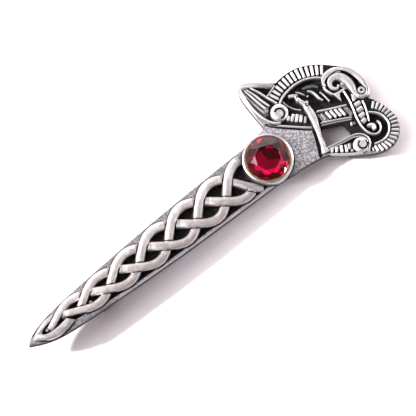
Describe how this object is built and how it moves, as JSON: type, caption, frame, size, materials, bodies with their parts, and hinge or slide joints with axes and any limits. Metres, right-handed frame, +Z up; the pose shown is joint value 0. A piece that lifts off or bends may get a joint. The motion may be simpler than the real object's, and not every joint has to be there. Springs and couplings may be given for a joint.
{
  "type": "kilt pin",
  "caption": "Cast pewter kilt pin shaped as a dirk with a plaited blade, a round red stone in a rim setting, a pierced beast-head pommel and a bar pin on the back.",
  "frame": {"origin": "middle of the object's box, on the surface that it lies on", "axes": "+X along the blade towards the beast head, +Y towards the wing, +Z up out of the front; the blade's back plane is pitched 2.66 degrees, head end down, because the catch is deeper than the hinge"},
  "size_m": [0.0952, 0.0318, 0.0092],
  "materials": {
    "pewter": "antiqued, polished on the raised work and blackened in the recesses",
    "red_glass": "faceted and polished, foiled behind",
    "plated_steel": "nickel plated, satin"
  },
  "bodies": {
    "root": {"casting": "pewter", "stone": "red_glass", "bar_pin": "plated_steel"}
  },
  "joints": []
}
